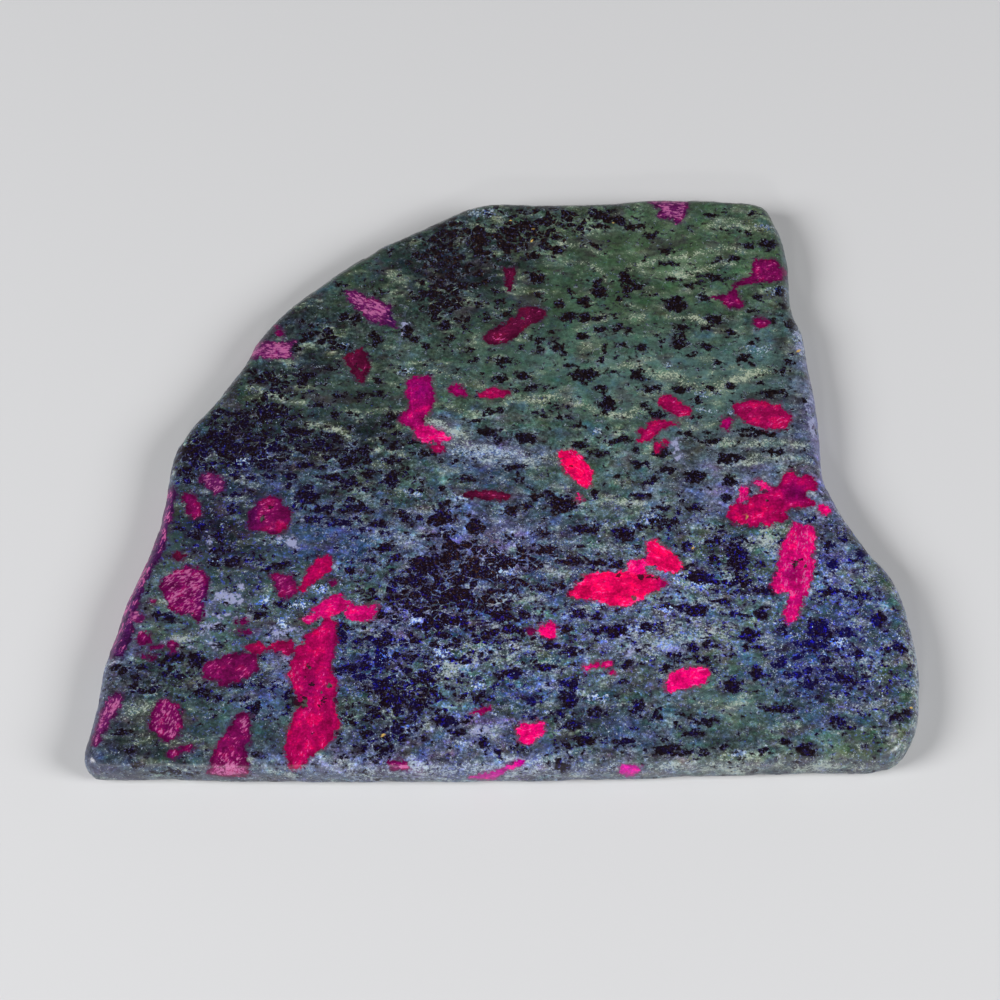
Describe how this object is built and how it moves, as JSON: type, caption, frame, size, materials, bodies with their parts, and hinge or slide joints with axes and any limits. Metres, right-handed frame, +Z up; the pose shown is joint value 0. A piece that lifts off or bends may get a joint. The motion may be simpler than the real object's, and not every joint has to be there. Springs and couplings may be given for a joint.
{
  "type": "ruby in zoisite slab",
  "caption": "Flat polished slab of ruby in zoisite: green zoisite with black hornblende grains and crimson rubies, a straight sawn edge and a worn, rounded rim.",
  "frame": {"origin": "middle of the footprint, on the flat back that the slab rests on", "axes": "+X along the straight sawn edge, +Y from the sawn edge to the far side, +Z up out of the polished front"},
  "size_m": [0.1596, 0.1378, 0.0075],
  "materials": {
    "ruby_in_zoisite": "polished green-grey rock mottled with black hornblende grains, pale veins and crimson ruby crystals, softer and greyer round the tumbled rim"
  },
  "bodies": {
    "root": {"slab": "ruby_in_zoisite"}
  },
  "joints": []
}
